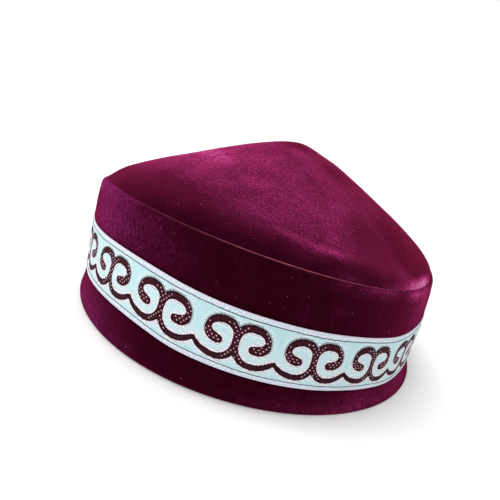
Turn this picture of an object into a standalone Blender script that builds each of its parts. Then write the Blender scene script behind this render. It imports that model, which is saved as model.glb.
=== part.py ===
"""A velvet kufi: an oval side band, a soft pointed crown sewn on top, and a woven ribbon round the band.

The cap stands on its rim at z = 0. Its front faces -Y, and the long way of the head runs along Y.
Sizes are in millimetres. Every piece is a loft through oval rings, closed over the cloth's thickness.
"""
import math
from collections import namedtuple

import bmesh
import bpy
import numpy as np

MM = 0.001

# Cloth, in millimetres
BAND_CLOTH = 2.4       # velvet, stiffener and lining of the side band, sewn as one wall
CROWN_CLOTH = 2.0      # the crown has no stiffener
RIBBON_CLOTH = 0.8     # a woven ribbon
GAP = 0.3              # clearance between neighbouring pieces
HEM_ROUND = 0.5        # how far the folded edge turns in at the rim and along the seam

AROUND = 72            # points in each ring
TURN = math.radians(-7.9)   # the oval sits slightly askew, as a soft cap does

# One row for each level of the side band. Shifts move the oval off the centre of the rim. The last four
# columns lift the ring towards its right side, its back, both its sides, and its right back and left
# front corners, because neither the ribbon nor the seam runs level.
Section = namedtuple(
    "Section",
    "height half_width half_length shift_x shift_y lift_right lift_back lift_sides lift_corners",
)
RIM = Section(0.0, 86.4, 106.2, 1.3, -0.4, 0.0, 0.0, 0.0, 0.0)
RIBBON_FOOT = Section(12.3, 83.7, 107.4, 0.5, 0.0, -0.4, -0.1, -0.7, 2.7)
RIBBON_HEAD = Section(34.3, 85.3, 104.5, -1.1, 0.3, -0.4, -0.1, -0.7, 2.7)
SEAM = Section(50.3, 84.1, 104.1, -1.8, 0.7, 2.3, -2.3, -2.4, 3.3)
SECTIONS = (RIM, RIBBON_FOOT, RIBBON_HEAD, SEAM)

# The crown from the seam (share 1) to its peak (share 0), and the height above the seam at each share
CrownRow = namedtuple("CrownRow", "share rise")
CROWN_ROWS = (
    CrownRow(1.00, 0.0),
    CrownRow(0.97, 2.3),
    CrownRow(0.93, 4.8),
    CrownRow(0.86, 8.5),
    CrownRow(0.74, 14.3),
    CrownRow(0.58, 21.1),
    CrownRow(0.40, 28.6),
    CrownRow(0.22, 35.3),
    CrownRow(0.08, 39.2),
    CrownRow(0.00, 40.2),
)
PEAK = (-0.6, -1.1)    # the peak's place in plan

# Soft swells (above zero) and dents (below zero) of the crown, each centred at a bearing and a share
Dent = namedtuple("Dent", "bearing share depth around along")
DENTS = (
    Dent(-78.0, 0.93, 0.8, 38.0, 0.080),     # roll of cloth above the front of the seam
    Dent(-60.0, 0.85, -0.7, 14.0, 0.055),    # crease behind that roll
    Dent(-38.0, 0.80, -1.3, 15.0, 0.130),    # long hollow down the right of the front
    Dent(-18.0, 0.95, 1.2, 14.0, 0.040),     # full corner at the right
    Dent(-30.0, 0.30, -1.2, 32.0, 0.110),    # hollow beside the peak
    Dent(0.0, 0.14, -1.0, 45.0, 0.070),      # the peak falls off more sharply at its right
)

# Levels and shares at which the lofts have a ring
RIBBON_LEVELS = tuple(np.linspace(RIBBON_FOOT.height, RIBBON_HEAD.height, 5))
BAND_LEVELS = (4.0, 8.0) + RIBBON_LEVELS + (39.5, 45.0)
BAND_LINING_LEVELS = (44.0, 34.0, 23.0, 12.0, 4.0)
CROWN_SHARES = (0.985, 0.97, 0.95, 0.92, 0.88, 0.82, 0.74, 0.64, 0.53, 0.41, 0.29, 0.18, 0.09, 0.035)
CROWN_LINING_SHARES = (0.06, 0.16, 0.28, 0.42, 0.56, 0.69, 0.80, 0.88, 0.94, 0.97)

MEAN_RADIUS = (SEAM.half_width + SEAM.half_length) / 2
SHARP = math.radians(40)    # edges that fold more than this stay crisp

# Cloth colours, as linear red, green and blue, with the roughness of each
VELVET = ((0.085, 0.006, 0.035, 1.0), 0.85)
CROWN_VELVET = ((0.110, 0.008, 0.045, 1.0), 0.85)
RIBBON_WEAVE = ((0.600, 0.830, 0.850, 1.0), 0.45)

angles = np.linspace(-math.pi, math.pi, AROUND, endpoint=False)


def section_at(height):
    """The oval at any height of the side band: each column follows a smooth curve through the rows."""
    weights = []
    for row in SECTIONS:
        others = [other.height for other in SECTIONS if other is not row]
        weights.append(math.prod((height - other) / (row.height - other) for other in others))
    return Section(*(float(column) for column in np.dot(weights, np.array(SECTIONS))))


def lift(section):
    """How far the ring stands above its level height, at each angle."""
    return (
        section.lift_right * np.cos(angles)
        + section.lift_back * np.sin(angles)
        + section.lift_sides * np.cos(2 * angles)
        + section.lift_corners * np.sin(2 * angles)
    )


def oval(half_width, half_length):
    """Plan of an ellipse about its own centre, turned with the cap."""
    cosine, sine = np.cos(angles), np.sin(angles)
    radius = half_width * half_length / np.hypot(half_length * cosine, half_width * sine)
    x, y = radius * cosine, radius * sine
    return (
        x * math.cos(TURN) - y * math.sin(TURN),
        x * math.sin(TURN) + y * math.cos(TURN),
    )


def band_ring(height, inset):
    """A ring of the side band, this far inside its outer face."""
    section = section_at(height)
    x, y = oval(section.half_width - inset, section.half_length - inset)
    return np.column_stack([x + section.shift_x, y + section.shift_y, height + lift(section)])


def crown_rise(share):
    """Height of the crown above the seam: a smooth curve through the rows, level across the peak."""
    shares = np.array([-CROWN_ROWS[-2].share] + [row.share for row in reversed(CROWN_ROWS)])
    rises = np.array([CROWN_ROWS[-2].rise] + [row.rise for row in reversed(CROWN_ROWS)])
    slopes = np.gradient(rises, shares)
    index = int(np.clip(np.searchsorted(shares, share) - 1, 0, len(shares) - 2))
    width = shares[index + 1] - shares[index]
    t = (share - shares[index]) / width
    return (
        (1 + 2 * t) * (1 - t) ** 2 * rises[index]
        + t * (1 - t) ** 2 * width * slopes[index]
        + t ** 2 * (3 - 2 * t) * rises[index + 1]
        + t ** 2 * (t - 1) * width * slopes[index + 1]
    )


def dents(share):
    """Sum of the swells and dents round one ring of the crown."""
    total = np.zeros(AROUND)
    for dent in DENTS:
        turn = np.angle(np.exp(1j * (angles - math.radians(dent.bearing))))
        sideways = turn / math.radians(dent.around)
        upward = (share - dent.share) / dent.along
        total += dent.depth * np.exp(-(sideways ** 2) - upward ** 2)
    return total


def crown_ring(share, depth=0.0):
    """A ring of the crown, this far inside its outer face, measured square to the slope."""
    step = 0.01
    slope = math.atan2(crown_rise(share - step) - crown_rise(share), step * MEAN_RADIUS)
    inset = depth * math.sin(slope)
    x, y = oval(SEAM.half_width * share - inset, SEAM.half_length * share - inset)
    rise = crown_rise(share) - depth * math.cos(slope) + dents(share)
    return np.column_stack([
        x + PEAK[0] + (SEAM.shift_x - PEAK[0]) * share,
        y + PEAK[1] + (SEAM.shift_y - PEAK[1]) * share,
        SEAM.height + rise + lift(SEAM) * share,
    ])


def crown_lip(inset):
    """A ring of the crown's sewn edge, which lies along the seam."""
    x, y = oval(SEAM.half_width - inset, SEAM.half_length - inset)
    level = SEAM.height + GAP / 2 + lift(SEAM)
    return np.column_stack([x + SEAM.shift_x, y + SEAM.shift_y, level])


def peak(depth):
    """The crown's topmost point, this far inside its outer face."""
    return (PEAK[0], PEAK[1], SEAM.height + crown_rise(0.0) - depth)


def cloth_material(name, colour, roughness):
    material = bpy.data.materials.new(name)
    material.use_nodes = True
    shader = material.node_tree.nodes["Principled BSDF"]
    shader.inputs["Base Color"].default_value = colour
    shader.inputs["Roughness"].default_value = roughness
    shader.inputs["Metallic"].default_value = 0.0
    return material


def add_ring(mesh, points):
    """One loop of points, from millimetres to metres."""
    return [mesh.verts.new((x * MM, y * MM, z * MM)) for x, y, z in points]


def bridge(mesh, lower, upper):
    """A strip of faces between two loops."""
    for index in range(AROUND):
        after = (index + 1) % AROUND
        mesh.faces.new((lower[index], lower[after], upper[after], upper[index]))


def fan(mesh, ring, point):
    """Closes the crown at its peak."""
    tip = mesh.verts.new([value * MM for value in point])
    for index in range(AROUND):
        mesh.faces.new((ring[index], ring[(index + 1) % AROUND], tip))


def add_piece(collection, name, mesh, material):
    """Makes the finished mesh a named object with its own cloth."""
    bmesh.ops.recalc_face_normals(mesh, faces=mesh.faces)
    data = bpy.data.meshes.new(name)
    mesh.to_mesh(data)
    mesh.free()
    data.materials.append(material)
    data.shade_smooth()
    data.set_sharp_from_angle(angle=SHARP)
    piece = bpy.data.objects.new(name, data)
    collection.objects.link(piece)
    return piece


def tube_of_rings(rings):
    """A closed ring of cloth: the outline of its section, carried round as a row of rings."""
    mesh = bmesh.new()
    loops = [add_ring(mesh, points) for points in rings]
    for lower, upper in zip(loops, loops[1:] + loops[:1]):
        bridge(mesh, lower, upper)
    return mesh


def side_band(collection):
    """The wall of the cap, from the folded hem at the rim to the edge sewn to the crown."""
    top = SEAM.height - GAP / 2
    outline = [(0.0, HEM_ROUND), (HEM_ROUND, 0.0)]
    outline += [(level, 0.0) for level in BAND_LEVELS]
    outline += [(top - HEM_ROUND, 0.0), (top, HEM_ROUND), (top, BAND_CLOTH)]
    outline += [(level, BAND_CLOTH) for level in BAND_LINING_LEVELS]
    outline += [(HEM_ROUND, BAND_CLOTH), (0.0, BAND_CLOTH - HEM_ROUND)]
    mesh = tube_of_rings([band_ring(height, inset) for height, inset in outline])
    add_piece(collection, "side_band", mesh, cloth_material("band velvet", *VELVET))


def ribbon(collection):
    """The woven ribbon that lies round the band, a little proud of the velvet."""
    outer = [(level, -GAP - RIBBON_CLOTH) for level in RIBBON_LEVELS]
    inner = [(level, -GAP) for level in reversed(RIBBON_LEVELS)]
    mesh = tube_of_rings([band_ring(height, inset) for height, inset in outer + inner])
    add_piece(collection, "ribbon", mesh, cloth_material("ribbon weave", *RIBBON_WEAVE))


def crown(collection):
    """The pointed top: one hollow shell of cloth, open below, whose edge lies on the band's."""
    mesh = bmesh.new()
    rings = [crown_lip(CROWN_CLOTH), crown_lip(HEM_ROUND)]
    rings += [crown_ring(share) for share in CROWN_SHARES]
    loops = [add_ring(mesh, points) for points in rings]
    for lower, upper in zip(loops, loops[1:]):
        bridge(mesh, lower, upper)
    fan(mesh, loops[-1], peak(0.0))
    lining = [add_ring(mesh, crown_ring(share, CROWN_CLOTH)) for share in CROWN_LINING_SHARES]
    for upper, lower in zip(lining, lining[1:] + loops[:1]):
        bridge(mesh, upper, lower)
    fan(mesh, lining[0], peak(CROWN_CLOTH))
    add_piece(collection, "crown", mesh, cloth_material("crown velvet", *CROWN_VELVET))


def main():
    for old in list(bpy.data.objects):
        bpy.data.objects.remove(old, do_unlink=True)
    collection = bpy.data.collections.new("kufi")
    bpy.context.scene.collection.children.link(collection)
    side_band(collection)
    ribbon(collection)
    crown(collection)


main()
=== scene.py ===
"""The looks of a velvet kufi: cotton velvet over a stiffened side band, a soft pointed crown, and a woven
ribbon of ram's horn scrolls sewn round the band. Sizes are in millimetres until a mesh is made.
"""
import math
from collections import namedtuple

import bmesh
import bpy
import numpy as np
from mathutils import Matrix, Vector


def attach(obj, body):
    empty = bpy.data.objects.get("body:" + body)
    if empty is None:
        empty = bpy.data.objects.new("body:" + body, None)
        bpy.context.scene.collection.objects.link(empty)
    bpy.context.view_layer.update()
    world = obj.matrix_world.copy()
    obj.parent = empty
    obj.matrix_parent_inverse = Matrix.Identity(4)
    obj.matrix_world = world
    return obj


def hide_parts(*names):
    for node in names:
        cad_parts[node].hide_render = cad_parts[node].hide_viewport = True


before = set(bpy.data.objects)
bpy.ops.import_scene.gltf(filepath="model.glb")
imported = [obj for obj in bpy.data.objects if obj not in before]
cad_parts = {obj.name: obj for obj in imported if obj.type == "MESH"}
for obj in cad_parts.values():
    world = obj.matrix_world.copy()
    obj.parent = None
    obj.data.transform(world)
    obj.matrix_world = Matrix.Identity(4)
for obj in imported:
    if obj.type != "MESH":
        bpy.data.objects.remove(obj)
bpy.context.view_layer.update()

MM = 0.001
FRONT = -0.5 * math.pi

# The cap's form, as the solids have it. A section is the oval's half sizes and shift at a height, and how
# far it lifts to the right, to the back, at both sides and at the corners between them.
BAND_CLOTH = 2.4          # the wall, with its stiffener and lining
CROWN_CLOTH = 2.0
TURN = math.radians(-7.9)    # how far the oval's long way is turned
Section = namedtuple(
    "Section",
    "height half_width half_length shift_x shift_y lift_right lift_back lift_sides lift_corners",
)
RIM = Section(0.0, 86.4, 106.2, 1.3, -0.4, 0.0, 0.0, 0.0, 0.0)
RIBBON_FOOT = Section(12.3, 83.7, 107.4, 0.5, 0.0, -0.4, -0.1, -0.7, 2.7)
RIBBON_HEAD = Section(34.3, 85.3, 104.5, -1.1, 0.3, -0.4, -0.1, -0.7, 2.7)
SEAM = Section(50.3, 84.1, 104.1, -1.8, 0.7, 2.3, -2.3, -2.4, 3.3)
SECTIONS = (RIM, RIBBON_FOOT, RIBBON_HEAD, SEAM)

# The crown's outline: share of the seam's size, and rise above the seam
CrownRow = namedtuple("CrownRow", "share rise")
CROWN_ROWS = (
    CrownRow(1.00, 0.0),
    CrownRow(0.97, 2.3),
    CrownRow(0.93, 4.8),
    CrownRow(0.86, 8.5),
    CrownRow(0.74, 14.3),
    CrownRow(0.58, 21.1),
    CrownRow(0.40, 28.6),
    CrownRow(0.22, 35.3),
    CrownRow(0.08, 39.2),
    CrownRow(0.00, 40.2),
)
PEAK = (-0.6, -1.1)

# Soft swellings and dents of the crown, which reach this many degrees around and this share along
Dent = namedtuple("Dent", "bearing share depth around along")
DENTS = (
    Dent(-78.0, 0.93, 0.8, 38.0, 0.080),
    Dent(-60.0, 0.85, -0.7, 14.0, 0.055),
    Dent(-38.0, 0.80, -1.3, 15.0, 0.130),
    Dent(-18.0, 0.95, 1.2, 14.0, 0.040),
    Dent(-30.0, 0.30, -1.2, 32.0, 0.110),
    Dent(0.0, 0.14, -1.0, 45.0, 0.070),
)
MEAN_RADIUS = (SEAM.half_width + SEAM.half_length) / 2

# Painted sheen and painted shade: patches where the velvet's colour is painted lighter or darker for how
# the light falls;
# bearing and around in degrees; place and along are shares of the crown, or heights on the band
PaintedPatch = namedtuple("PaintedPatch", "bearing place strength around along")
CROWN_PAINTED_LIGHT = (
    PaintedPatch(-113.0, 0.57, 0.34, 15.0, 0.12),
    PaintedPatch(-140.0, 0.50, 0.45, 20.0, 0.26),
    PaintedPatch(-112.0, 0.80, -0.20, 18.0, 0.10),
    PaintedPatch(-68.0, 0.905, 0.45, 6.0, 0.024),
    PaintedPatch(-77.0, 0.880, 0.30, 4.0, 0.022),
    PaintedPatch(-62.0, 0.985, 0.14, 5.0, 0.012),
    PaintedPatch(-62.0, 0.80, 0.15, 8.0, 0.050),
    PaintedPatch(-28.0, 0.72, -0.34, 24.0, 0.17),
    PaintedPatch(-51.0, 0.72, -0.18, 10.0, 0.090),
    PaintedPatch(-28.0, 0.30, -0.36, 30.0, 0.13),
    PaintedPatch(-84.0, 0.24, 0.20, 14.0, 0.035),
    PaintedPatch(-28.5, 0.986, 2.70, 8.5, 0.020),
    PaintedPatch(-42.0, 0.988, 0.40, 7.0, 0.012),
    PaintedPatch(-15.0, 0.90, -0.12, 16.0, 0.080),
    PaintedPatch(-4.0, 0.66, -0.26, 20.0, 0.260),
    PaintedPatch(-42.0, 0.940, 0.20, 7.0, 0.050),
    PaintedPatch(-90.0, 0.08, -0.38, 70.0, 0.100),
)
BAND_PAINTED_LIGHT = (
    PaintedPatch(-122.0, 44.0, 0.26, 10.0, 14.0),
    PaintedPatch(-140.0, 49.0, 0.30, 14.0, 3.0),
    PaintedPatch(-105.0, 42.0, 0.07, 10.0, 10.0),
    PaintedPatch(-33.0, 48.4, 1.00, 6.5, 1.3),
    PaintedPatch(-26.0, 46.5, 0.42, 8.0, 4.5),
    PaintedPatch(-50.0, 49.2, 0.40, 5.0, 0.9),
    PaintedPatch(-62.0, 49.0, 0.15, 6.0, 0.9),
    PaintedPatch(-63.0, 41.0, 0.05, 2.2, 3.0),
    PaintedPatch(-70.0, 38.5, 0.05, 1.2, 3.0),
    PaintedPatch(-26.0, 41.0, 0.22, 9.0, 8.0),
    PaintedPatch(-40.0, 6.0, 0.20, 22.0, 7.0),
    PaintedPatch(-118.0, 5.0, 0.06, 10.0, 7.0),
    PaintedPatch(-124.0, 2.2, 0.14, 16.0, 3.0),
    PaintedPatch(-58.0, 2.5, 0.24, 15.0, 3.0),
)

# The sewn velvet
COLUMNS = 540             # of points, round the band and the crown
HEM_RADIUS = 1.2          # the fold at the rim
HEM_ROWS = 7
SEAM_DROP = 0.3           # from the seam's level down to the band's rolled edge
WANDER_REACH = 14.0       # the rows of velvet follow the wandering ribbon this far up and down
PILE_PRESSED = 0.45       # how deep the ribbon presses the pile under it
BASE_PAINTED_SHEEN = 0.024       # painted sheen on the band where no listed patch adds to it
LINT_SPECKS = 640

# The ribbon
RIBBON_WIDTH = RIBBON_HEAD.height - RIBBON_FOOT.height
RIBBON_BACK = 0.02        # the ribbon's back and face, off the wall's outline
RIBBON_FACE = 0.42
HAIRLINE = 1.85           # the sewing line runs this far inside each edge
SCROLL_RISE = 0.16        # the brocade's floats above the satin
PIN_DOT = 0.30            # radius of a pale binding stitch on the brocade
CELL = 0.25               # step of the grid that the woven shapes are cut from
STITCH = 2.6              # length of a sewing stitch
STITCH_THICK = 0.15       # its half thickness

# How far the sewn ribbon's foot and head wander up from their level, at places along it from the front
Wander = namedtuple("Wander", "along foot head")
WANDER = (
    Wander(-110.0, -0.4, -0.8), Wander(-90.0, -1.4, -1.9), Wander(-75.0, -1.7, -2.1),
    Wander(-60.0, -0.9, -1.3), Wander(-45.0, 0.0, -0.2), Wander(-30.0, 0.55, 0.4),
    Wander(-20.0, 0.35, 0.4), Wander(-8.0, -0.4, 0.0), Wander(5.0, -0.45, -0.25),
    Wander(25.0, -0.3, -0.2), Wander(45.0, 0.0, -0.2), Wander(60.0, 0.25, -0.2),
    Wander(75.0, -0.1, -0.5), Wander(92.0, -0.8, -1.0), Wander(115.0, -0.2, -0.2),
)

# The pattern's stems, as the front of the ribbon has them; the rest share what is left, a little wider
REPEATS = 20
STEMS = (-103.2, -73.6, -43.8, -14.9, 14.2, 44.1, 74.3, 104.2)
FIRST_STEM = -4           # the first of them, counted in repeats from the one right of the front
FIRST_REPEAT = -10        # the one that is made first, behind the cap
PITCH = 29.6              # from stem to stem, as the pattern is charted


def linear(code):
    """A hex colour, as the eye sees it, turned to the linear values that a shader mixes."""
    values = [int(code[i:i + 2], 16) / 255 for i in (1, 3, 5)]
    return tuple(v / 12.92 if v <= 0.04045 else ((v + 0.055) / 1.055) ** 2.4 for v in values) + (1.0,)


def smooth(low, high, value):
    """From 0 at low to 1 at high, level at both ends."""
    t = np.clip((np.asarray(value, float) - low) / (high - low), 0, 1)
    return t * t * (3 - 2 * t)


def lift(section, angles):
    """How far the section's edge lifts from its level."""
    return (
        section.lift_right * np.cos(angles)
        + section.lift_back * np.sin(angles)
        + section.lift_sides * np.cos(2 * angles)
        + section.lift_corners * np.sin(2 * angles)
    )


def oval(half_width, half_length, angles):
    """The turned oval, across and along."""
    cosine, sine = np.cos(angles), np.sin(angles)
    radius = half_width * half_length / np.hypot(half_length * cosine, half_width * sine)
    x, y = radius * cosine, radius * sine
    return (
        x * math.cos(TURN) - y * math.sin(TURN),
        x * math.sin(TURN) + y * math.cos(TURN),
    )


def section_at(height):
    """The columns of the oval at each height, on the smooth curve through the four sections."""
    height = np.asarray(height, float)
    columns = np.zeros((len(Section._fields),) + height.shape)
    for row in SECTIONS:
        weight = np.ones_like(height)
        for other in SECTIONS:
            if other is not row:
                weight = weight * (height - other.height) / (row.height - other.height)
        columns += np.array(row)[(slice(None),) + (None,) * height.ndim] * weight
    return Section(*columns)


def band_points(height, angles, inset=0.0):
    """Points of the side band at these heights and angles, this far inside its outer face."""
    section = section_at(height)
    x, y = oval(section.half_width - inset, section.half_length - inset, angles)
    z = height + lift(section, angles)
    return np.stack(np.broadcast_arrays(x + section.shift_x, y + section.shift_y, z), axis=-1)


def curve(places, values, slopes, where):
    """The smooth curve that has these values and slopes at the places."""
    index = np.clip(np.searchsorted(places, where) - 1, 0, len(places) - 2)
    width = places[index + 1] - places[index]
    t = (where - places[index]) / width
    return (
        (1 + 2 * t) * (1 - t) ** 2 * values[index]
        + t * (1 - t) ** 2 * width * slopes[index]
        + t ** 2 * (3 - 2 * t) * values[index + 1]
        + t ** 2 * (t - 1) * width * slopes[index + 1]
    )


def crown_rise(share):
    """Height above the seam, level at the peak because the outline goes on past it."""
    shares = np.array([-CROWN_ROWS[-2].share] + [row.share for row in reversed(CROWN_ROWS)])
    rises = np.array([CROWN_ROWS[-2].rise] + [row.rise for row in reversed(CROWN_ROWS)])
    return curve(shares, rises, np.gradient(rises, shares), share)


def around(angles, bearing):
    """Degrees from a bearing, the short way round."""
    return np.degrees(np.angle(np.exp(1j * (angles - math.radians(bearing)))))


def dents(share, angles):
    total = 0.0
    for dent in DENTS:
        sideways = around(angles, dent.bearing) / dent.around
        upward = (share - dent.share) / dent.along
        total = total + dent.depth * np.exp(-(sideways ** 2) - upward ** 2)
    return total


def stroked(painted_patches, place, angles):
    """How much painted sheen, or painted shade where it is negative, the listed patches give."""
    total = 0.0
    for one in painted_patches:
        sideways = around(angles, one.bearing) / one.around
        total = total + one.strength * np.exp(-(sideways ** 2) - ((place - one.place) / one.along) ** 2)
    return total


def crown_points(share, angles, depth=0.0, rise=0.0, inset=0.0):
    """Points of the crown: depth goes inside it square to the slope, rise and inset straight up and in."""
    step = 0.01               # share over which the slope is taken
    slope = np.arctan2(crown_rise(share - step) - crown_rise(share), step * MEAN_RADIUS)
    inset = inset + depth * np.sin(slope)
    x, y = oval(SEAM.half_width * share - inset, SEAM.half_length * share - inset, angles)
    height = SEAM.height + crown_rise(share) - depth * np.cos(slope) + rise
    z = height + dents(share, angles) + lift(SEAM, angles) * share
    return np.stack(np.broadcast_arrays(
        x + PEAK[0] + (SEAM.shift_x - PEAK[0]) * share,
        y + PEAK[1] + (SEAM.shift_y - PEAK[1]) * share,
        z,
    ), axis=-1)


def slack(angles, height, size, seed):
    """The soft unevenness of sewn cloth: a few long waves, in millimetres."""
    waves = np.random.default_rng(seed)
    total = 0.0
    for turns in (3, 5, 8, 13, 21):
        phase, tilt = waves.uniform(0, 2 * math.pi), waves.uniform(-0.09, 0.09)
        total = total + np.sin(turns * angles + tilt * height + phase) * size / turns ** 0.5
    return total


# Making meshes


def make_piece(name, points, faces, *materials):
    mesh = bpy.data.meshes.new(name)
    mesh.from_pydata((np.asarray(points).reshape(-1, 3) * MM).tolist(), [], faces)
    mesh.update()
    for material in materials:
        mesh.materials.append(material)
    mesh.shade_smooth()
    piece = bpy.data.objects.new(name, mesh)
    bpy.context.scene.collection.objects.link(piece)
    return piece


def paint(piece, name, values):
    """Stores a number at each point for the material to read."""
    layer = piece.data.attributes.new(name, "FLOAT", "POINT")
    layer.data.foreach_set("value", np.asarray(values, np.float32).ravel())


def grid_faces(rows, columns, wrap_rows=False, start=0):
    """Quads of a grid whose columns run round and meet, and whose rows may too."""
    faces = []
    for row in range(rows if wrap_rows else rows - 1):
        above = (row + 1) % rows
        for column in range(columns):
            after = (column + 1) % columns
            faces.append((
                start + row * columns + column,
                start + row * columns + after,
                start + above * columns + after,
                start + above * columns + column,
            ))
    return faces


# Materials


def node(tree, kind, **settings):
    """Adds a shader node, or takes one that is there. A setting is a property of the node or the name of an
    input with underscores; an input takes a number, a hex colour, a socket, or a node, for its Fac or else
    its first output. A number that isn't painted on a piece reads as 0 there."""
    made = tree.nodes.new(kind) if isinstance(kind, str) else kind
    for key, value in settings.items():
        if hasattr(made, key):
            setattr(made, key, value)
            continue
        socket = next(s for s in made.inputs if s.identifier.replace("_", " ") == key.replace("_", " "))
        if isinstance(value, bpy.types.Node):
            value = value.outputs.get("Fac") or next(s for s in value.outputs if s.enabled)
        if isinstance(value, bpy.types.NodeSocket):
            tree.links.new(value, socket)
        else:
            socket.default_value = linear(value) if isinstance(value, str) else value
    return made


def new_material(name):
    material = bpy.data.materials.new(name)
    material.use_nodes = True
    return material, material.node_tree, material.node_tree.nodes["Principled BSDF"]


RANGE, MIX, NOISE, WAVE = "ShaderNodeMapRange", "ShaderNodeMix", "ShaderNodeTexNoise", "ShaderNodeTexWave"
ATTRIBUTE, BUMP, MATH = "ShaderNodeAttribute", "ShaderNodeBump", "ShaderNodeMath"


PATCH = 13 * MM           # patches of pile that lean one way
TUFT = 1.6 * MM           # ruffled tufts
PILE = 0.95 * MM          # tips of the pile, drawn three times as coarse as they are, so that they show


def cotton_velvet(name, ground, lit, tint, rows):
    """Cotton velvet: a short cut pile that swallows light seen straight on and glows where it is seen from
    the side, because the lit tips of the pile stand there one behind the other. The tips show as a fine
    grain, squeezed by this factor up and down into the rows that the pile was cut in. The pile varies in
    random soft patches and tufts, and over that its colour is mixed from the dark ground to a lit copy by
    painted sheen and painted shade, lighter and darker, with a pale painted highlight where the painted
    sheen is strongest."""
    material, tree, shader = new_material(name)
    place = node(tree, "ShaderNodeTexCoord").outputs["Object"]
    crush = node(tree, NOISE, Vector=place, Scale=1 / PATCH, Detail=3.0, Roughness=0.55)
    in_rows = node(tree, "ShaderNodeVectorMath", operation="MULTIPLY", Vector=place,
                   Vector_001=(1.0, 1.0, rows))
    pile = node(tree, NOISE, Vector=in_rows, Scale=1 / PILE, Detail=2.0, Roughness=0.7)
    patches = node(tree, RANGE, Value=crush, From_Min=0.35, From_Max=0.72)
    grain = node(tree, RANGE, Value=pile, From_Min=0.42, From_Max=0.8)
    stroked = node(tree, ATTRIBUTE, attribute_name="stroked").outputs["Fac"]
    patches = node(tree, MATH, operation="MULTIPLY_ADD", Value=patches, Value_001=0.8, Value_002=0.6)
    # painted sheen and painted shade: how far the colour goes from the dark ground to the lit copy
    painted_sheen_mix = node(tree, MATH, operation="MULTIPLY", Value=patches, Value_001=stroked)
    grain = node(tree, MATH, operation="MULTIPLY_ADD", Value=grain, Value_001=1.6, Value_002=0.4)
    tufts = node(tree, NOISE, Vector=place, Scale=1 / TUFT, Detail=3.0, Roughness=0.7)
    flock = node(tree, RANGE, Value=tufts, From_Min=0.35, From_Max=0.66, To_Min=0.4, To_Max=1.5)
    # painted highlight: grows with the painted sheen
    painted_glint = node(tree, MATH, operation="MULTIPLY", Value=flock, Value_001=painted_sheen_mix)
    painted_sheen_mix = node(tree, MATH, operation="MULTIPLY", Value=grain, Value_001=painted_sheen_mix)
    # painted sheen tint: the lit copy is bluer on the band's left, where the sheen glows most
    cool = node(tree, ATTRIBUTE, attribute_name="cool").outputs["Fac"]
    lit = node(tree, MIX, data_type="RGBA", Factor_Float=cool, A_Color=lit, B_Color="#963088")
    # the lit copy mixed over the dark ground by the painted sheen
    colour = node(tree, MIX, data_type="RGBA", Factor_Float=painted_sheen_mix, A_Color=ground, B_Color=lit)
    # painted highlight, pale pink, where the painted sheen is strongest
    painted_glint = node(tree, RANGE, Value=painted_glint, From_Min=0.85, From_Max=2.1, To_Max=0.6)
    colour = node(tree, MIX, data_type="RGBA", Factor_Float=painted_glint, A_Color=colour, B_Color="#cc82b0")
    # painted highlight along the seam's rolled edge, partly the pile's parted pale foot
    parting = node(tree, ATTRIBUTE, attribute_name="parting").outputs["Fac"]
    colour = node(tree, MIX, data_type="RGBA", Factor_Float=parting, A_Color=colour, B_Color="#96505f")
    # painted shadow beside the ribbon's edges
    pressed = node(tree, ATTRIBUTE, attribute_name="pressed").outputs["Fac"]
    colour = node(tree, MIX, data_type="RGBA", Factor_Float=pressed, A_Color=colour, B_Color="#080002")
    standing = node(tree, BUMP, Height=pile, Strength=0.65, Distance=0.35 * MM)
    ruffled = node(tree, BUMP, Height=tufts, Normal=standing, Strength=0.5, Distance=0.7 * MM)
    leaning = node(tree, BUMP, Height=crush, Normal=ruffled, Strength=0.4, Distance=1.6 * MM)
    node(tree, shader, Base_Color=colour, Normal=leaning, Roughness=1.0, Specular_IOR_Level=0.0,
         Sheen_Weight=0.6, Sheen_Roughness=0.45, Sheen_Tint=tint)
    return material


def velvet_back():
    """The woven cotton back of the velvet, inside the cap: matt, with an even grain of threads, which is
    drawn twice as coarse as they are, so that it shows."""
    material, tree, shader = new_material("velvet back")
    place = node(tree, "ShaderNodeTexCoord").outputs["Object"]
    weave = node(tree, NOISE, Vector=place, Scale=1 / (0.8 * MM), Detail=2.0)
    colour = node(tree, MIX, data_type="RGBA", Factor_Float=weave, A_Color="#3a1020", B_Color="#551c31")
    threads = node(tree, BUMP, Height=weave, Strength=0.4, Distance=0.3 * MM)
    node(tree, shader, Base_Color=colour, Normal=threads, Roughness=0.9)
    return material


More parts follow.
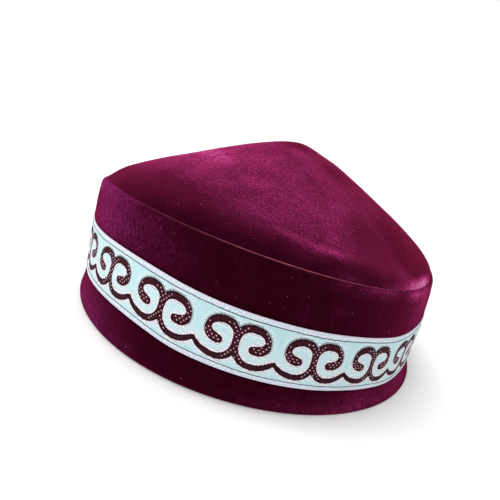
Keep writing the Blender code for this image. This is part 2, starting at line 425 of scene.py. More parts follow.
def ribbon_satin():
    """Polyester satin, the ribbon's ground: pale aqua floats lying aslant, smooth enough to catch a soft
    light, whiter where the scroll ties them down and in the plain-woven selvedges, where the velvet shines
    through the very edge. The slant lines are 0.8 mm apart, twice as coarse as they are, so that they
    show."""
    material, tree, shader = new_material("ribbon satin")
    along = node(tree, ATTRIBUTE, attribute_name="along").outputs["Fac"]
    across = node(tree, ATTRIBUTE, attribute_name="across").outputs["Fac"]
    clear = node(tree, ATTRIBUTE, attribute_name="clear").outputs["Fac"]
    place = node(tree, "ShaderNodeCombineXYZ", X=along, Y=across)
    floats = node(tree, WAVE, Vector=place, bands_direction="DIAGONAL", Scale=0.55, Distortion=1.0,
                  Detail=1.0)
    cloud = node(tree, NOISE, Vector=place, Scale=0.25, Detail=2.0)
    sparkle = node(tree, NOISE, Vector=place, Scale=1.4, Detail=2.0, Roughness=0.8)
    base = node(tree, MIX, data_type="RGBA", Factor_Float=cloud, A_Color="#98bac2", B_Color="#b4d3d8")
    near = node(tree, RANGE, Value=clear, From_Min=2.4, From_Max=0.5, To_Max=0.7)
    base = node(tree, MIX, data_type="RGBA", Factor_Float=near, A_Color=base, B_Color="#bcd3cf")
    fleck = node(tree, RANGE, Value=sparkle, From_Min=0.48, From_Max=0.75, To_Max=0.55)
    base = node(tree, MIX, data_type="RGBA", Factor_Float=fleck, A_Color=base, B_Color="#d6dcde")
    teeth = node(tree, WAVE, Vector=place, bands_direction="Y", Scale=0.35, Distortion=2.5, Detail=2.0)
    fringe = node(tree, RANGE, Value=clear, From_Min=1.4, From_Max=0.5, To_Max=0.75)
    tied = node(tree, MIX, data_type="RGBA", Factor_Float=teeth, A_Color="#82989f", B_Color="#eee2e8")
    base = node(tree, MIX, data_type="RGBA", Factor_Float=fringe, A_Color=base, B_Color=tied)
    line = node(tree, RANGE, Value=floats, From_Min=0.2, From_Max=0.9, To_Max=0.25)
    base = node(tree, MIX, data_type="RGBA", Factor_Float=line, A_Color=base, B_Color="#789aa4")
    rim = node(tree, MATH, operation="ABSOLUTE", Value=across)
    half_width = 0.5 * RIBBON_WIDTH
    hairline = half_width - HAIRLINE
    selvedge = node(tree, RANGE, Value=rim, From_Min=hairline, From_Max=hairline + 0.3, To_Max=0.8)
    plain = node(tree, RANGE, Value=sparkle, From_Min=0.35, From_Max=0.65)
    plain = node(tree, MIX, data_type="RGBA", Factor_Float=plain, A_Color="#92b2be", B_Color="#e2d4de")
    base = node(tree, MIX, data_type="RGBA", Factor_Float=selvedge, A_Color=base, B_Color=plain)
    turned = node(tree, RANGE, Value=rim, From_Min=half_width - 0.4, From_Max=half_width, To_Max=0.7)
    base = node(tree, MIX, data_type="RGBA", Factor_Float=turned, A_Color=base, B_Color="#c49ab0")
    slant = node(tree, BUMP, Height=floats, Strength=0.3, Distance=0.1 * MM)
    node(tree, shader, Base_Color=base, Normal=slant, Roughness=0.45, Specular_IOR_Level=0.3)
    return material


def tied_satin():
    """The satin right beside the scroll, where the floats are bound close: nearly white inside the horns
    and under the tendrils, and shaded by fine dark ends outside the horns."""
    material, tree, shader = new_material("tied satin")
    along = node(tree, ATTRIBUTE, attribute_name="along").outputs["Fac"]
    across = node(tree, ATTRIBUTE, attribute_name="across").outputs["Fac"]
    outer = node(tree, ATTRIBUTE, attribute_name="outer").outputs["Fac"]
    place = node(tree, "ShaderNodeCombineXYZ", X=along, Y=across)
    ends = node(tree, WAVE, Vector=place, bands_direction="DIAGONAL", Scale=0.8, Distortion=0.6)
    dark = node(tree, MIX, data_type="RGBA", Factor_Float=ends, A_Color="#3a3540", B_Color="#9ab4ba")
    knots = node(tree, NOISE, Vector=place, Scale=1.8, Detail=2.0, Roughness=0.7)
    knots = node(tree, RANGE, Value=knots, From_Min=0.35, From_Max=0.65)
    pale = node(tree, MIX, data_type="RGBA", Factor_Float=knots, A_Color="#a29aa8", B_Color="#ecdce4")
    base = node(tree, MIX, data_type="RGBA", Factor_Float=outer, A_Color=pale, B_Color=dark)
    node(tree, shader, Base_Color=base, Roughness=0.5)
    return material


def brocade_thread():
    """Viscose brocade thread of the scroll, dark brown: close floats with a low gloss, greyer along the
    ribbon's foot and almost black along their edges, where they dive under. The floats are 0.9 mm apart,
    twice as coarse as they are, so that they show."""
    material, tree, shader = new_material("brocade thread")
    depth = node(tree, ATTRIBUTE, attribute_name="depth").outputs["Fac"]
    across = node(tree, ATTRIBUTE, attribute_name="across").outputs["Fac"]
    along = node(tree, ATTRIBUTE, attribute_name="along").outputs["Fac"]
    place = node(tree, "ShaderNodeCombineXYZ", X=along, Y=across)
    floats = node(tree, WAVE, Vector=place, bands_direction="X", Scale=0.7, Distortion=0.5)
    twist = node(tree, NOISE, Vector=place, Scale=1.3, Detail=2.0, Roughness=0.7)
    edge = node(tree, RANGE, Value=depth, From_Min=1.0, From_Max=0.2, To_Max=0.8)
    worn = node(tree, RANGE, Value=across, From_Min=-3.4, From_Max=-5.4, To_Max=0.3)
    twist = node(tree, RANGE, Value=twist, From_Min=0.35, From_Max=0.65)
    colour = node(tree, MIX, data_type="RGBA", Factor_Float=twist, A_Color="#1a070d", B_Color="#481422")
    colour = node(tree, MIX, data_type="RGBA", Factor_Float=worn, A_Color=colour, B_Color="#281c26")
    colour = node(tree, MIX, data_type="RGBA", Factor_Float=edge, A_Color=colour, B_Color="#0c0305")
    rows = node(tree, BUMP, Height=floats, Strength=0.4, Distance=0.1 * MM)
    node(tree, shader, Base_Color=colour, Normal=rows, Roughness=0.7, Specular_IOR_Level=0.06)
    return material


def spun_thread(name, colour, shade, roughness):
    """Spun polyester thread, seen as single stitches with a slight twist in their tone."""
    material, tree, shader = new_material(name)
    place = node(tree, "ShaderNodeTexCoord").outputs["Object"]
    twist = node(tree, NOISE, Vector=place, Scale=1 / (0.4 * MM), Detail=1.0)
    tone = node(tree, MIX, data_type="RGBA", Factor_Float=twist, A_Color=shade, B_Color=colour)
    node(tree, shader, Base_Color=tone, Roughness=roughness)
    return material


# The ribbon's own coordinates: along it from the front, to the right, and across it from foot to head

ring = np.linspace(FRONT - math.pi, FRONT + math.pi, 4001)
middle = band_points(np.full(ring.shape, RIBBON_FOOT.height + 0.5 * RIBBON_WIDTH), ring)
lengths = np.concatenate([[0], np.cumsum(np.linalg.norm(np.diff(middle, axis=0), axis=1))])
lengths -= np.interp(FRONT, ring, lengths)
RIBBON_LENGTH = lengths[-1] - lengths[0]


def ribbon_edges(along):
    """Heights of the ribbon's foot and head, where the sewing let it wander."""
    places, *edges = np.array((Wander(-180.0, 0.0, 0.0),) + WANDER + (Wander(180.0, 0.0, 0.0),)).T
    heights = []
    for nominal, wander in zip((RIBBON_FOOT.height, RIBBON_HEAD.height), edges):
        slopes = np.gradient(wander, places)
        slopes[[0, -1]] = 0
        heights.append(nominal + curve(places, wander, slopes, np.clip(along, places[0], places[-1])))
    return heights


def lay(along, across, rise):
    """Puts a point of the flat ribbon on the band, this far off its surface."""
    along = (np.asarray(along, float) - lengths[0]) % RIBBON_LENGTH + lengths[0]
    angles = np.interp(along, lengths, ring)
    foot, head = ribbon_edges(along)
    height = foot + np.asarray(across, float) / RIBBON_WIDTH * (head - foot)
    here = band_points(height, angles)
    sideways = band_points(height, angles + 0.002) - here
    upward = band_points(height + 0.1, angles) - here
    normal = np.cross(sideways, upward)
    normal /= np.linalg.norm(normal, axis=-1, keepdims=True)
    return here + normal * np.asarray(rise)[..., None]


def pattern_to_ribbon(turns):
    """Place along the ribbon of a point of the pattern, in repeats from the stem right of the front."""
    first, last = FIRST_STEM, FIRST_STEM + len(STEMS) - 1
    known = np.concatenate([[last - REPEATS], np.arange(first, last + 1), [first + REPEATS]])
    places = np.concatenate([[STEMS[-1] - RIBBON_LENGTH], STEMS, [STEMS[0] + RIBBON_LENGTH]])
    return np.interp(turns, known, places)


# The side band


def shoulder(angles):
    """1 at the far left, where the band's rolled edge is fullest and the crown rises from it softly."""
    return np.exp(-(around(angles, -165.0) / 32.0) ** 2)


def roll(angles):
    """Radius of the band's rolled top edge."""
    return 1.5 + 1.4 * shoulder(angles)


def band_heights():
    """Nominal heights of the band's rows, close together at the ribbon's edges."""
    foot, head = RIBBON_FOOT.height, RIBBON_HEAD.height
    edge = np.array([-1.6, -1.1, -0.75, -0.5, -0.3, -0.12, 0.05, 0.22, 0.4, 0.65, 1.1])
    return np.concatenate([
        np.linspace(1.4, foot - 2.4, 10), foot + edge, np.linspace(foot + 2.0, head - 2.0, 16),
        head - edge[::-1], np.linspace(head + 2.4, SEAM.height - 4.4, 14),
    ])


def seam_highlight_shows(angles):
    """How strongly the pale line along the seam is painted, a painted highlight on the rolled edge that is
    partly the pile's parted pale foot: well at the front, in broken marks at the right, and hardly
    elsewhere."""
    broken = 0.5 + 0.5 * np.sin(61 * angles + 2.0 * np.sin(17 * angles)) * np.sin(37 * angles + 1.0)
    front = 0.85 * np.exp(-(around(angles, -77.0) / 20.0) ** 2) * (0.45 + 0.55 * broken)
    return front + 0.55 * np.exp(-(around(angles, -47.0) / 11.0) ** 2) * broken ** 2


def make_band():
    """One closed shell: up the outside from the folded hem, over the rolled edge and down the inside."""
    angles = np.linspace(-math.pi, math.pi, COLUMNS, endpoint=False) + FRONT
    along = np.interp((angles - ring[0]) % (2 * math.pi) + ring[0], ring, lengths)
    foot, head = ribbon_edges(along)
    top = SEAM.height - SEAM_DROP
    radius = roll(angles)
    rows, parting, pressed = [], [], []      # each row's heights and insets
    for turn in np.linspace(-0.5 * math.pi, 0, HEM_ROWS):
        rows.append((np.full(COLUMNS, HEM_RADIUS + HEM_RADIUS * math.sin(turn)),
                     np.full(COLUMNS, HEM_RADIUS - HEM_RADIUS * math.cos(turn))))
    levels = (0.0, RIBBON_FOOT.height, RIBBON_HEAD.height, SEAM.height)
    moves = (0.0, foot - RIBBON_FOOT.height, head - RIBBON_HEAD.height, 0.0)
    for nominal in band_heights():
        height = nominal + sum(
            move * max(0.0, 1 - abs(nominal - level) / WANDER_REACH) for move, level in zip(moves, levels))
        inside = np.minimum(height - foot, head - height)
        press = PILE_PRESSED / (1 + np.exp(-inside / 0.3))
        fade = smooth(0, 6, height) * smooth(0, 6, top - height)
        rows.append((height, press - slack(angles, height, size=0.14, seed=3) * fade))
        # painted shadow line along both edges of the ribbon
        pressed.append(np.exp(-(inside / 0.7) ** 2))
    for turn in np.radians(np.linspace(0, 88, 13)):
        rows.append((top - radius + radius * math.sin(turn), radius - radius * math.cos(turn)))
        # painted highlight on the top of the rolled edge beside the seam
        parting.append(smooth(52, 80, math.degrees(turn)))
    shown = len(rows)
    rows.append((np.full(COLUMNS, top - 1.5), radius + 0.5))
    for height in np.linspace(top - 5.0, 1.0, 14):
        rows.append((np.full(COLUMNS, height), np.full(COLUMNS, BAND_CLOTH)))
    points = np.array([band_points(height, angles, inset) for height, inset in rows])
    velvet = cotton_velvet("band velvet", ground="#1b0004", lit="#962c64", tint="#aa2c60", rows=0.7)
    band = make_piece("velvet_band", points, grid_faces(len(rows), COLUMNS, wrap_rows=True),
                      velvet, velvet_back())
    back = np.zeros(len(rows) * COLUMNS, int)
    back[shown * COLUMNS:] = 1
    band.data.polygons.foreach_set("material_index", back)
    lines = np.zeros((len(rows), COLUMNS))
    lines[shown - len(parting):shown] = np.array(parting)[:, None] * seam_highlight_shows(angles)
    paint(band, "parting", lines)
    shade = np.zeros((len(rows), COLUMNS))
    shade[HEM_ROWS:HEM_ROWS + len(pressed)] = pressed
    paint(band, "pressed", shade)
    # painted sheen tint, strongest on the band's left
    paint(band, "cool", np.tile(np.exp(-(around(angles, -140.0) / 30.0) ** 2), (len(rows), 1)))
    heights = np.array([height for height, inset in rows])
    # painted sheen and painted shade on the band: a low base level and the listed patches
    paint(band, "stroked", BASE_PAINTED_SHEEN + stroked(BAND_PAINTED_LIGHT, heights, angles))
    return band


def make_crown():
    """One closed shell: from the sunk edge at the seam over the peak, and the same way back inside."""
    columns = COLUMNS
    angles = np.linspace(-math.pi, math.pi, columns, endpoint=False)
    start_inset = (0.9 - 0.2 * shoulder(angles)) * roll(angles)   # it starts beside the rolled edge,
    valley = -0.55 + 0.75 * shoulder(angles)                      # pulled down by the seam to this height,
    softness = 0.6 + 2.4 * shoulder(angles)                       # and swells over this distance
    rows = [crown_points(np.ones(columns), angles, rise=-1.4, inset=start_inset + 0.7)]
    shares = [np.ones(columns)]
    steps = np.concatenate([
        [0.0, 0.1, 0.22, 0.36, 0.54, 0.76, 1.02, 1.34, 1.72, 2.2], np.linspace(2.8, 20.0, 30),
        np.linspace(20.9, MEAN_RADIUS * 0.985, 66),
    ])
    for step in steps:
        share = 1 - (step + start_inset * max(0.0, 1 - step / 40)) / MEAN_RADIUS
        fade = smooth(0, 8, step) * smooth(0, 0.3, share)
        sunk = np.exp(-step / softness)
        uneven = slack(angles, share * 60, size=0.22, seed=5) * fade
        rise = (valley - crown_rise(share)) * sunk + uneven
        rows.append(crown_points(share, angles, rise=rise))
        shares.append(share)
    count = len(rows)
    tip = count * columns
    last = (count - 1) * columns
    under_shares = np.concatenate([np.linspace(0.965, 0.1, 22), [0.03]])
    under = [crown_points(np.full(columns, share), angles, depth=CROWN_CLOTH) for share in under_shares]
    inner_start = tip + 1
    inner_last = inner_start + (len(under) - 1) * columns
    inner_tip = inner_last + columns
    peak = SEAM.height + crown_rise(np.array(0.0))
    points = np.concatenate([
        np.array(rows).reshape(-1, 3), [[PEAK[0], PEAK[1], peak]],
        np.array(under).reshape(-1, 3), [[PEAK[0], PEAK[1], peak - CROWN_CLOTH]],
    ])
    faces = grid_faces(count, columns)
    faces += [(last + c, last + (c + 1) % columns, tip) for c in range(columns)]
    shown = len(faces)
    faces += [tuple(reversed(face)) for face in grid_faces(len(under), columns, start=inner_start)]
    faces += [(inner_last + (c + 1) % columns, inner_last + c, inner_tip) for c in range(columns)]
    faces += [((c + 1) % columns, c, inner_start + c, inner_start + (c + 1) % columns)
              for c in range(columns)]
    velvet = cotton_velvet("crown velvet", ground="#1a0005", lit="#a0306c", tint="#aa2c5a", rows=2.4)
    crown = make_piece("velvet_crown", points, faces, velvet, velvet_back())
    back = np.zeros(len(faces), int)
    back[shown:] = 1
    crown.data.polygons.foreach_set("material_index", back)
    shares = np.array(shares)
    # painted sheen and painted shade on the crown: dark beside the seam, lighter up the crown, and the
    # listed patches
    lean = 0.04 + 0.36 * smooth(0.98, 0.72, shares) + stroked(CROWN_PAINTED_LIGHT, shares, angles)
    paint(crown, "stroked", np.concatenate([lean.ravel(), np.zeros(len(points) - tip)]))
    return crown


# The ribbon and its pattern

Knot = namedtuple("Knot", "x y half_width")
# Right half of the scroll about its stem: the horn that rolls over and in, and the tendril along the foot
HORN = (
    Knot(0.00, 11.5, 1.32), Knot(0.30, 14.0, 1.30), Knot(1.5, 16.1, 1.38), Knot(3.7, 17.25, 1.32),
    Knot(6.3, 17.40, 1.28), Knot(8.7, 16.8, 1.25), Knot(10.5, 15.5, 1.15), Knot(11.1, 13.8, 1.15),
    Knot(10.7, 12.0, 1.50), Knot(9.3, 10.85, 1.70), Knot(7.6, 10.4, 1.65), Knot(6.2, 10.3, 1.35),
)
TENDRIL = (
    Knot(0.00, 11.5, 1.32), Knot(0.20, 9.3, 1.28), Knot(1.2, 7.0, 1.28), Knot(3.0, 5.35, 1.22),
    Knot(5.3, 4.45, 1.15), Knot(7.6, 4.35, 1.12), Knot(10.0, 4.8, 1.08), Knot(12.2, 5.8, 1.00),
    Knot(13.8, 6.9, 0.90), Knot(15.0, 7.7, 0.65),
)
CURL = (6.0, 11.6)        # middle of the horn
LEFT_SIDE = 0.96          # the left half is woven a little narrower, and the whole leans to the right
LEAN = 0.06
LEFT_END_DROP = 0.7       # and its tendril ends lower than its neighbour's, on the right of the other stem


def stroke(knots, steps=14):
    """A smooth run of points, with half widths, through the knots."""
    table = np.array(knots)
    ends = np.vstack([2 * table[0] - table[1], table, 2 * table[-1] - table[-2]])
    t = np.linspace(0, 1, steps, endpoint=False)[:, None]
    out = []
    for a, b, c, d in zip(ends, ends[1:], ends[2:], ends[3:]):
        out.append(0.5 * (2 * b + (c - a) * t + (2 * a - 5 * b + 4 * c - d) * t ** 2
                          + (3 * b - a - 3 * c + d) * t ** 3))
    return np.vstack(out + [table[-1:]])


half = np.vstack([stroke(HORN), stroke(TENDRIL)])
left = half * (-LEFT_SIDE, 1, 1)
left[:, 1] -= LEFT_END_DROP * smooth(8, 14, -left[:, 0]) * (left[:, 1] < 9)
whole = np.vstack([half, left])
whole[:, 0] += LEAN * (whole[:, 1] - HORN[0].y)
SCROLL = np.vstack([whole + (shift * PITCH, 0, 0) for shift in (-1, 0, 1)])


def outside(x, y):
    """Distance from the scroll's edge, negative inside it."""
    x, y = np.asarray(x, float), np.asarray(y, float)
    best = np.full(x.shape, 99.0)
    for px, py, width in SCROLL:
        best = np.minimum(best, np.hypot(x - px, y - py) - width)
    return best


def ribbon_profile(across):
    """The satin's face over its width: hardly domed, dipping at the sewing lines, thin at the selvedges."""
    from_edge = np.minimum(across, RIBBON_WIDTH - across)
    dip = 0.16 * np.exp(-((from_edge - HAIRLINE) / 0.35) ** 2)
    edge = 0.22 * np.exp(-(from_edge / 0.3) ** 2)
    return RIBBON_FACE + 0.1 * np.clip(from_edge / 6, 0, 1) - dip - edge


def make_ribbon():
    columns = 880
    turns = np.linspace(0, REPEATS, columns, endpoint=False)
    along = pattern_to_ribbon(turns + FIRST_REPEAT)
    edge = np.array([0.0, 0.12, 0.3])
    across = np.concatenate([edge, np.arange(0.6, RIBBON_WIDTH - 0.5, 0.4), RIBBON_WIDTH - edge[::-1]])
    back_across = np.linspace(RIBBON_WIDTH, 0, 14)
    grid_along, grid_across = np.meshgrid(along, np.concatenate([across, back_across]))
    rise = ribbon_profile(grid_across)
    rise[len(across):] = RIBBON_BACK
    points = lay(grid_along, grid_across, rise)
    ribbon = make_piece("ribbon_ground", points, grid_faces(len(points), columns, wrap_rows=True),
                        ribbon_satin())
    x = ((turns + 0.5) % 1 - 0.5) * PITCH
    paint(ribbon, "clear", outside(np.broadcast_to(x, grid_across.shape), grid_across))
    paint(ribbon, "along", grid_along)
    paint(ribbon, "across", grid_across - 0.5 * RIBBON_WIDTH)
    return ribbon


def contour(field, xs, ys):
    """Faces over the part of a grid where the field is negative, cut along its edge."""
    points, faces, index = [], [], {}

    def corner(i, j):
        if (i, j) not in index:
            index[i, j] = len(points)
            points.append((xs[i], ys[j]))
        return index[i, j]

    def crossing(a, b):
        key = (min(a, b), max(a, b))
        if key not in index:
            (i, j), (k, m) = key
            t = field[j, i] / (field[j, i] - field[m, k])
            index[key] = len(points)
            points.append((xs[i] + t * (xs[k] - xs[i]), ys[j] + t * (ys[m] - ys[j])))
        return index[key]

    for j in range(len(ys) - 1):
        for i in range(len(xs) - 1):
            corners = [(i, j), (i + 1, j), (i + 1, j + 1), (i, j + 1)]
            inside = [field[b, a] < 0 for a, b in corners]
            if not any(inside):
                continue
            loop = []
            for k in range(4):
                here, after = corners[k], corners[(k + 1) % 4]
                if inside[k]:
                    loop.append(corner(*here))
                if inside[k] != inside[(k + 1) % 4]:
                    loop.append(crossing(here, after))
            faces.append(tuple(loop))
    return np.array(points), faces


def skirt(points, faces):
    """Edges of the flat shape that face its ground, apart from those where one repeat meets the next."""
    uses = {}
    for face in faces:
        for a, b in zip(face, face[1:] + face[:1]):
            uses[min(a, b), max(a, b)] = uses.get((min(a, b), max(a, b)), 0) + 1
    end = 0.5 * PITCH - 1e-6
    return [
        (a, b) for face in faces for a, b in zip(face, face[1:] + face[:1])
        if uses[min(a, b), max(a, b)] == 1 and not (abs(points[a][0]) > end and abs(points[b][0]) > end)
    ]


def weld(piece, distance):
    """Joins the points where one repeat meets the next."""
    mesh = bmesh.new()
    mesh.from_mesh(piece.data)
    bmesh.ops.remove_doubles(mesh, verts=mesh.verts, dist=distance * MM)
    mesh.to_mesh(piece.data)
    mesh.free()


def make_woven(name, material, field_of, relief_of, foot, **painted):
    """A flat woven shape of one repeat, where its field is negative, raised on the ribbon by its relief,
    with sides that go down to its foot in the satin, and carried round the cap."""
    xs = np.linspace(-0.5, 0.5, int(PITCH / CELL) + 1) * PITCH
    ys = np.arange(1.0, 20.6, CELL)
    flat, faces = contour(field_of(*np.meshgrid(xs, ys)), xs, ys)
    edges = skirt(flat, faces)
    rim = sorted({a for edge in edges for a in edge})
    below = {a: len(flat) + k for k, a in enumerate(rim)}
    faces = faces + [(b, a, below[a], below[b]) for a, b in edges]
    relief = np.concatenate([relief_of(flat[:, 0], flat[:, 1]), np.full(len(rim), foot)])
    points = np.vstack([flat, flat[rim]])
    all_points, all_faces = [], []
    for repeat in range(REPEATS):
        along = pattern_to_ribbon(repeat + FIRST_REPEAT + points[:, 0] / PITCH)
        all_points.append(lay(along, points[:, 1], ribbon_profile(points[:, 1]) + relief))
        all_faces += [tuple(v + repeat * len(points) for v in face) for face in faces]
    piece = make_piece(name, np.vstack(all_points), all_faces, material)
    paint(piece, "along", np.concatenate([points[:, 0] + repeat * PITCH for repeat in range(REPEATS)]))
    paint(piece, "across", np.tile(points[:, 1] - 0.5 * RIBBON_WIDTH, REPEATS))
    for label, values in painted.items():
        paint(piece, label, np.tile(values(points[:, 0], points[:, 1]), REPEATS))
    weld(piece, 0.02)
    return piece


def make_scroll():
    """The scroll itself, with the ends of its floats as small steps along its edge."""
    def edge(x, y):
        return outside(x, y) + 0.08 * np.sin(2 * math.pi * (y / 1.05 + x / 2.6))

    def relief(x, y):
        return SCROLL_RISE * (0.5 + 0.5 * smooth(0, 0.7, -outside(x, y)))

    return make_woven("scroll_brocade", brocade_thread(), edge, relief, foot=-0.12,
                      depth=lambda x, y: -outside(x, y))


def make_scroll_edge():
    """The satin bound close beside the scroll, with fine teeth where the bound floats end."""
    def band_round(x, y):
        distance = outside(x, y)
        teeth = 0.14 * np.sin(2 * math.pi * (y - 0.35 * np.abs(x)) / 0.8)
        return np.abs(distance - 0.12) - 0.34 - teeth

    def outer(x, y):
        reach = np.hypot((np.abs(x) - CURL[0]) * 0.93, y - CURL[1])
        return smooth(5.2, 5.9, reach) * smooth(8.0, 10.0, y)

    def relief(x, y):
        return 0.07 * smooth(0.6, 0.2, outside(x, y))

    return make_woven("scroll_edge", tied_satin(), band_round, relief, foot=-0.1, outer=outer)


def dotted(x, y):
    """The pale binding stitches show on the stem and the hooks, not on the level runs or the very tips."""
    side = np.abs(x)
    top_run = (side > 3.9) & (side < 9.6) & (y > 15)
    foot_run = (side > 3.8) & (y < 7.6)
    tip = (side < 5.8) & (side > 2.5) & (y > 8) & (y < 12.2)
    return (outside(x, y) < -0.45) & ~top_run & ~foot_run & ~tip


def make_pin_dots():
    dice = np.random.default_rng(23)
    first, step, lean = np.array([-0.2, 13.1]), np.array([0.85, -1.0]), np.array([0.85, 1.0])
    i, j = np.meshgrid(np.arange(-60, 60), np.arange(-60, 60))
    lattice = first + i.reshape(-1, 1) * step + j.reshape(-1, 1) * lean
    side = np.abs(lattice[:, 0])
    lattice = lattice[(side < 0.5 * PITCH) & (lattice[:, 1] > 2) & (lattice[:, 1] < 20)]
    lattice = lattice[dotted(lattice[:, 0], lattice[:, 1])]
    sides = 7
    circle = np.linspace(0, 2 * math.pi, sides, endpoint=False)
    points, faces = [], []
    for repeat in range(REPEATS):
        for x, y in lattice:
            radius = PIN_DOT * dice.uniform(0.8, 1.15)
            start = len(points)
            for size, rise in ((1.0, -0.05), (0.75, 0.08)):
                reach = radius * size
                points += [(repeat, x + reach * math.cos(t), y + 0.85 * reach * math.sin(t), rise)
                           for t in circle]
            points.append((repeat, x, y, 0.13))
            faces += grid_faces(2, sides, start=start)
            faces += [(start + sides + k, start + sides + (k + 1) % sides, start + 2 * sides)
                      for k in range(sides)]
    repeat, x, y, rise = np.array(points).T
    along = pattern_to_ribbon(repeat + FIRST_REPEAT + x / PITCH)
    where = lay(along, y, ribbon_profile(y) + SCROLL_RISE + rise)
    return make_piece("pin_dots", where, faces, spun_thread("binding thread", "#dcb6c0", "#b08492", 0.7))


def make_sewing():
    """The line of grey-green stitches that holds down each edge of the ribbon."""
    dice = np.random.default_rng(5)
    sides = 6
    count = round(RIBBON_LENGTH / STITCH)
    pitch = RIBBON_LENGTH / count
    circle = np.linspace(0, 2 * math.pi, sides, endpoint=False)
    # share of the stitch, thickness, rise: each end dives into the ribbon beside the next one
    shape = ((-0.03, 0.7, -0.04), (0.04, 0.95, 0.01), (0.25, 1.0, 0.04),
             (0.75, 1.0, 0.04), (0.96, 0.95, 0.01), (1.03, 0.7, -0.04))
    points, faces = [], []
    for level, phase in ((HAIRLINE, 1.0), (RIBBON_WIDTH - HAIRLINE, 2.0)):
        for index in range(count):
            start = len(points)
            drift, slope = dice.normal(0, 0.03), dice.normal(0, 0.04)
            for share, size, rise in shape:
                along = (index + share) * pitch
                wave = 0.1 * math.sin(along * 2 * math.pi * 17 / RIBBON_LENGTH + phase)
                line = level + wave + drift + slope * (share - 0.5)
                reach = STITCH_THICK * size
                points += [(along, line + reach * math.cos(t), rise + reach * math.sin(t)) for t in circle]
            faces += grid_faces(len(shape), sides, start=start)
            faces.append(tuple(start + k for k in range(sides))[::-1])
            faces.append(tuple(start + (len(shape) - 1) * sides + k for k in range(sides)))
    along, across, rise = np.array(points).T
    where = lay(along, across, ribbon_profile(np.full(len(along), HAIRLINE)) + rise + 0.03)
    return make_piece("sewing_stitches", where, faces,
                      spun_thread("sewing thread", "#1c2e34", "#101c20", 0.8))


def make_lint():
    """Pale specks of lint caught on the pile."""
    dice = np.random.default_rng(41)
    points, faces = [], []
    for _ in range(LINT_SPECKS):
        angle = dice.uniform(-math.pi, math.pi)
        if dice.random() < 0.74:
            share = math.sqrt(dice.uniform(0.02, 0.93))
            here, beside, up = (crown_points(np.array(share + a), np.array(angle + b)) for a, b in
                                ((0, 0), (0, 0.003), (-0.003, 0)))
        else:
            height = dice.choice([dice.uniform(2, 10), dice.uniform(36, 48)], p=(0.3, 0.7))
            here, beside, up = (band_points(np.array(height + a), np.array(angle + b)) for a, b in
                                ((0, 0), (0, 0.003), (0.3, 0)))
        side = (beside - here) / np.linalg.norm(beside - here)
        rise = (up - here) / np.linalg.norm(up - here)
        out = np.cross(side, rise)
        turn = dice.uniform(0, math.pi)
        line = side * math.cos(turn) + rise * math.sin(turn)
        width = np.cross(out, line)
        length, breadth = dice.uniform(0.12, 0.36), dice.uniform(0.09, 0.16)
        start = len(points)
        centre = here + out * 0.12
        points += [centre - line * length, centre + line * length, centre - width * breadth,
                   centre + width * breadth, centre + out * 0.1, centre - out * 0.1]
        for a, b in ((0, 3), (3, 1), (1, 2), (2, 0)):
            faces.append((start + a, start + b, start + 4)[::-1])
            faces.append((start + a, start + b, start + 5))
    return make_piece("lint", points, faces, spun_thread("lint", "#b86c94", "#6c2a4c", 0.9))


# Stage, light and camera


def make_stage():
    """A white sweep of paper that bends up to a wall all round. Its sizes and the lights' are in metres."""
    flat, bend = 0.9, 0.8
    rows = [(flat + bend * math.sin(t), bend - bend * math.cos(t))
            for t in np.linspace(0, 0.5 * math.pi, 16)]
    rows.append((flat + bend, 2.0))
    columns = 72
    angles = np.linspace(0, 2 * math.pi, columns, endpoint=False)
    points = [(r * math.cos(a) / MM, r * math.sin(a) / MM, z / MM) for r, z in rows for a in angles]
    points.append((0.0, 0.0, 0.0))
    faces = [face[::-1] for face in grid_faces(len(rows), columns)]
    faces += [(k, (k + 1) % columns, len(points) - 1) for k in range(columns)]
    material, tree, shader = new_material("white paper sweep")
    node(tree, shader, Base_Color="#f7f7f7", Roughness=0.9, Specular_IOR_Level=0.2)
    make_piece("floor", points, faces, material)


def soft_light(name, place, aim, size, power):
    """A soft box or a window: its size in metres, and its power in watts."""
    light = bpy.data.lights.new(name, "AREA")
    light.shape = "RECTANGLE"
    light.size, light.size_y = size
    light.energy = power
    lamp = bpy.data.objects.new(name, light)
    lamp.location = place
    lamp.rotation_euler = (Vector(aim) - Vector(place)).to_track_quat("-Z", "Y").to_euler()
    bpy.context.scene.collection.objects.link(lamp)


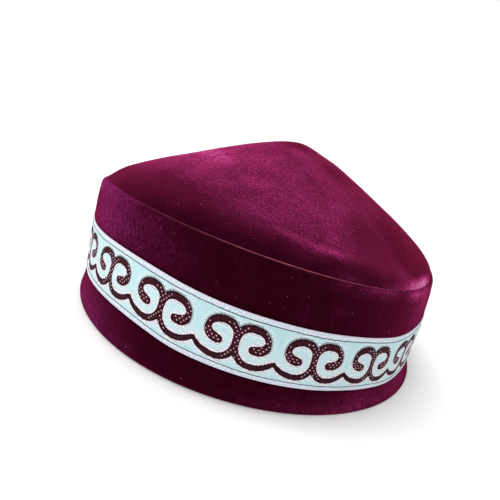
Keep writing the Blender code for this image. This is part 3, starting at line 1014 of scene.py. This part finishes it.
def make_light():
    """Plain soft light, most of it from above, the left and the front, with a white surround."""
    soft_light("overhead", (-0.35, 0.25, 1.4), (0, 0, 0), (1.2, 1.0), 14)
    soft_light("left window", (-1.3, -0.2, 0.7), (0, 0, 0.04), (0.9, 0.9), 7)
    soft_light("right window", (1.3, 0.1, 0.5), (0, 0, 0.04), (0.6, 0.6), 1)
    soft_light("front fill", (-0.2, -1.4, 0.9), (0, 0, 0.03), (1.2, 0.8), 7)
    world = bpy.data.worlds.new("studio")
    bpy.context.scene.world = world
    world.use_nodes = True
    node(world.node_tree, world.node_tree.nodes["Background"], Color="#ffffff", Strength=0.4)
    bpy.context.scene.view_settings.view_transform = "Standard"


def make_camera():
    """Close by, a little above the cap, and rolled to the left, as the photo was taken."""
    place = (0.00069, -0.27069, 0.0959)
    heading, down, tilt = math.radians(-2.11), math.radians(13.83), math.radians(17.25)
    focal, picture = 520.0, 500.0            # pixels
    level_part = math.cos(down)
    ahead = Vector((math.sin(heading) * level_part, math.cos(heading) * level_part, -math.sin(down)))
    level = ahead.cross(Vector((0, 0, 1))).normalized()
    upright = level.cross(ahead)
    right = level * math.cos(tilt) + upright * math.sin(tilt)
    up = upright * math.cos(tilt) - level * math.sin(tilt)
    camera = bpy.data.cameras.new("camera")
    camera.sensor_width = 36.0
    camera.lens = focal / picture * camera.sensor_width
    camera.clip_start = 0.01
    holder = bpy.data.objects.new("camera", camera)
    turned = Matrix((right, up, -ahead)).transposed().to_4x4()
    holder.matrix_world = Matrix.Translation(place) @ turned
    bpy.context.scene.collection.objects.link(holder)
    bpy.context.scene.camera = holder


band = make_band()
crown = make_crown()
ribbon = make_ribbon()
scroll = make_scroll()
scroll_edge = make_scroll_edge()
dots = make_pin_dots()
sewing = make_sewing()
lint = make_lint()

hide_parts("side_band")
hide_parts("crown")
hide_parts("ribbon")
for piece, slot in (
    (band, "band_velvet"), (crown, "crown_velvet"),
    (ribbon, "ribbon_jacquard"), (scroll, "ribbon_jacquard"), (scroll_edge, "ribbon_jacquard"),
    (dots, "ribbon_jacquard"), (sewing, "ribbon_jacquard"), (lint, "crown_velvet"),
):
    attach(piece, "root")

make_stage()
make_light()
make_camera()
